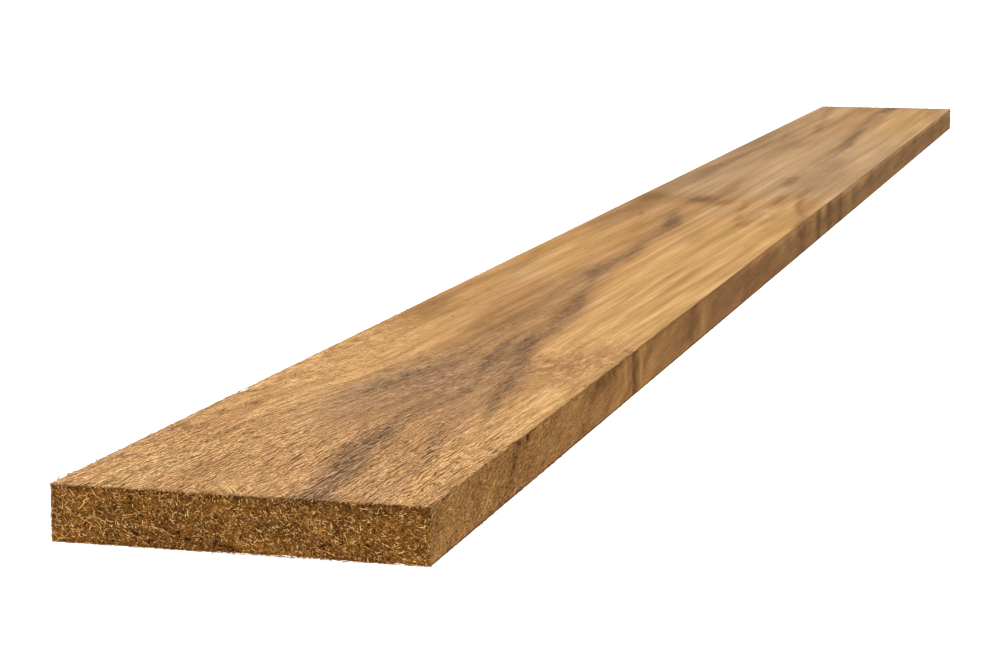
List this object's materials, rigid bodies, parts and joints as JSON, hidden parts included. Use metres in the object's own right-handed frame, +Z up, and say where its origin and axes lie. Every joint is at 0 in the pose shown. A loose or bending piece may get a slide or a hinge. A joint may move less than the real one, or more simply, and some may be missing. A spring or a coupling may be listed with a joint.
{
  "type": "rough-sawn timber plank",
  "caption": "Long flat rough-sawn timber board of rectangular section with sawn faces, square-cut ends and slightly worn arrises, for decking, cladding, shelving or framing.",
  "frame": {"origin": "centre of the underside, on the floor the board lies on", "axes": "+X along the grain and the board's length, Y across its wide face, +Z up through its thickness; the end that the picture shows nearest is at -X, and the long edge that it shows is at -Y"},
  "size_m": [2.1, 0.145, 0.022],
  "materials": {
    "sawn_timber": "rough-sawn, unfinished, matt"
  },
  "bodies": {
    "root": {"plank": "sawn_timber"}
  },
  "joints": []
}
